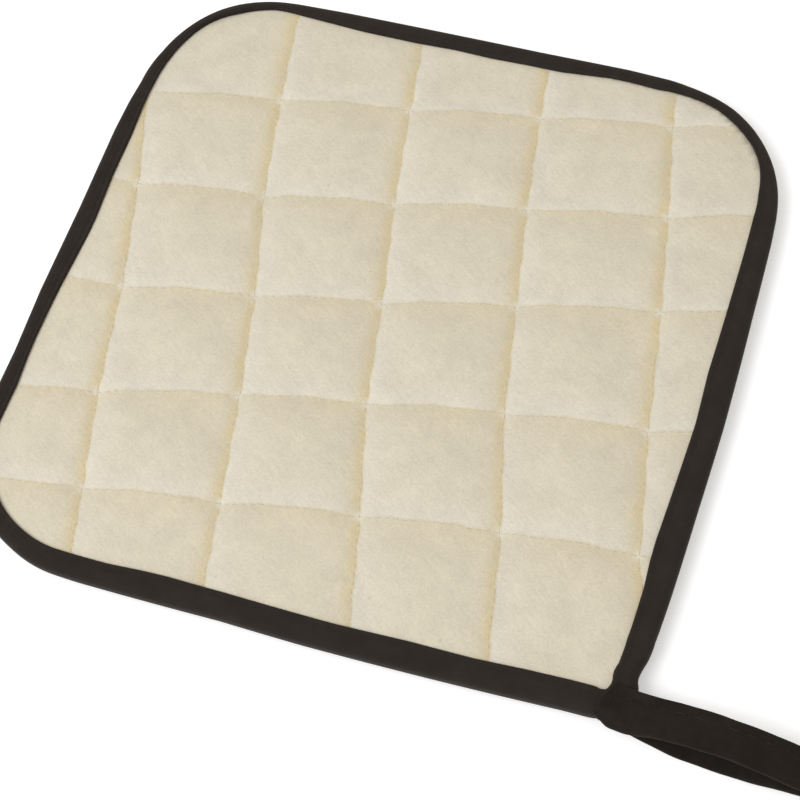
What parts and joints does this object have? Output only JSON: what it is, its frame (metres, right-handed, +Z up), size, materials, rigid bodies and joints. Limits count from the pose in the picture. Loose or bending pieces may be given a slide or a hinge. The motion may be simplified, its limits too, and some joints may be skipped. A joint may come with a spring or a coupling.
{
  "type": "pot holder",
  "caption": "Square quilted cotton pot holder with rounded corners, a dark tape binding and a hanging loop at one corner, lying flat.",
  "frame": {"origin": "on the table, under the middle of the whole outline, hanging loop included", "axes": "+Z up through the thickness; +X along the front edge, towards the corner with the hanging loop; +Y from the front edge to the back one"},
  "size_m": [0.2548, 0.2072, 0.0142],
  "materials": {
    "cream_cotton": "brushed, unbleached cotton",
    "white_wadding": "soft fibre wadding",
    "dark_tape": "woven cotton tape, matt"
  },
  "bodies": {
    "root": {"front_cover": "cream_cotton", "wadding": "white_wadding", "back_cover": "cream_cotton", "edge_binding": "dark_tape", "hanging_loop": "dark_tape"}
  },
  "joints": []
}
